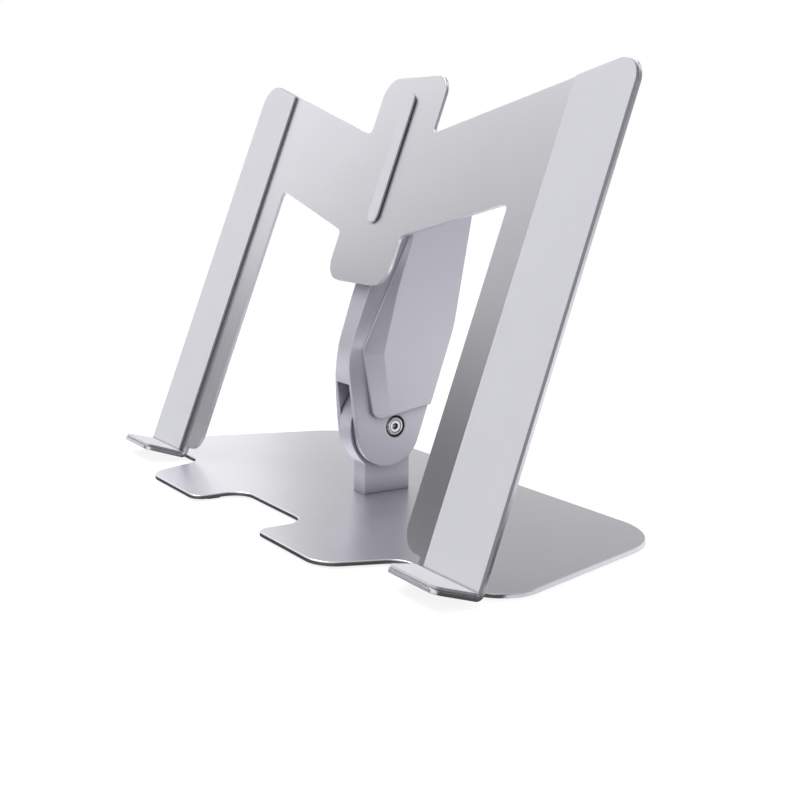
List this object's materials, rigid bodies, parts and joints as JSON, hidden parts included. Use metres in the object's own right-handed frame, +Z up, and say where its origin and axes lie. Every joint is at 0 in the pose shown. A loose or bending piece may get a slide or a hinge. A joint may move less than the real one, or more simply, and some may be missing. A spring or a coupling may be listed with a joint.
{
  "type": "folding laptop stand",
  "caption": "Folding laptop stand: a flat base, an arm pivoting on a post, and a leaning M-shaped panel with soft pads and two lips that hold a laptop.",
  "frame": {"origin": "on the table, under the middle of the base", "axes": "+Z up, +X to the right of the user who sits at -Y, so the panel's pads face -Y and upwards"},
  "size_m": [0.273, 0.131, 0.1793],
  "materials": {
    "anodised_silver": "fine satin, anodised",
    "silicone": "matt silicone",
    "screw_steel": "polished",
    "friction_disc": "matt"
  },
  "bodies": {
    "base": {"base_plate": "anodised_silver", "foot_front_left": "silicone", "foot_front_right": "silicone", "foot_rear_left": "silicone", "foot_rear_right": "silicone", "post": "anodised_silver", "post_screw_front": "screw_steel", "post_screw_rear": "screw_steel", "lower_washer_left": "friction_disc", "lower_washer_right": "friction_disc"},
    "arm": {"arm_frame": "anodised_silver", "arm_cover_left": "anodised_silver", "arm_cover_right": "anodised_silver", "lower_bolt": "screw_steel", "lower_sleeve": "screw_steel", "upper_bolt": "screw_steel", "upper_sleeve": "screw_steel", "upper_washer_left": "friction_disc", "upper_washer_right": "friction_disc"},
    "panel": {"panel": "anodised_silver", "pad_left": "silicone", "pad_right": "silicone", "pad_centre": "silicone", "hinge_bracket": "anodised_silver", "bracket_screw_bottom": "screw_steel", "bracket_screw_top": "screw_steel"}
  },
  "joints": [
    {"name": "arm_tilt", "type": "hinge", "parent": "base", "child": "arm", "pos_m": [0, 0.01045, 0.0313], "axis": [-1, 0, 0], "range_deg": [0, 70]},
    {"name": "panel_tilt", "type": "hinge", "parent": "arm", "child": "panel", "pos_m": [0, 0.02845, 0.1226], "axis": [-1, 0, 0], "range_deg": [0, 50]}
  ]
}
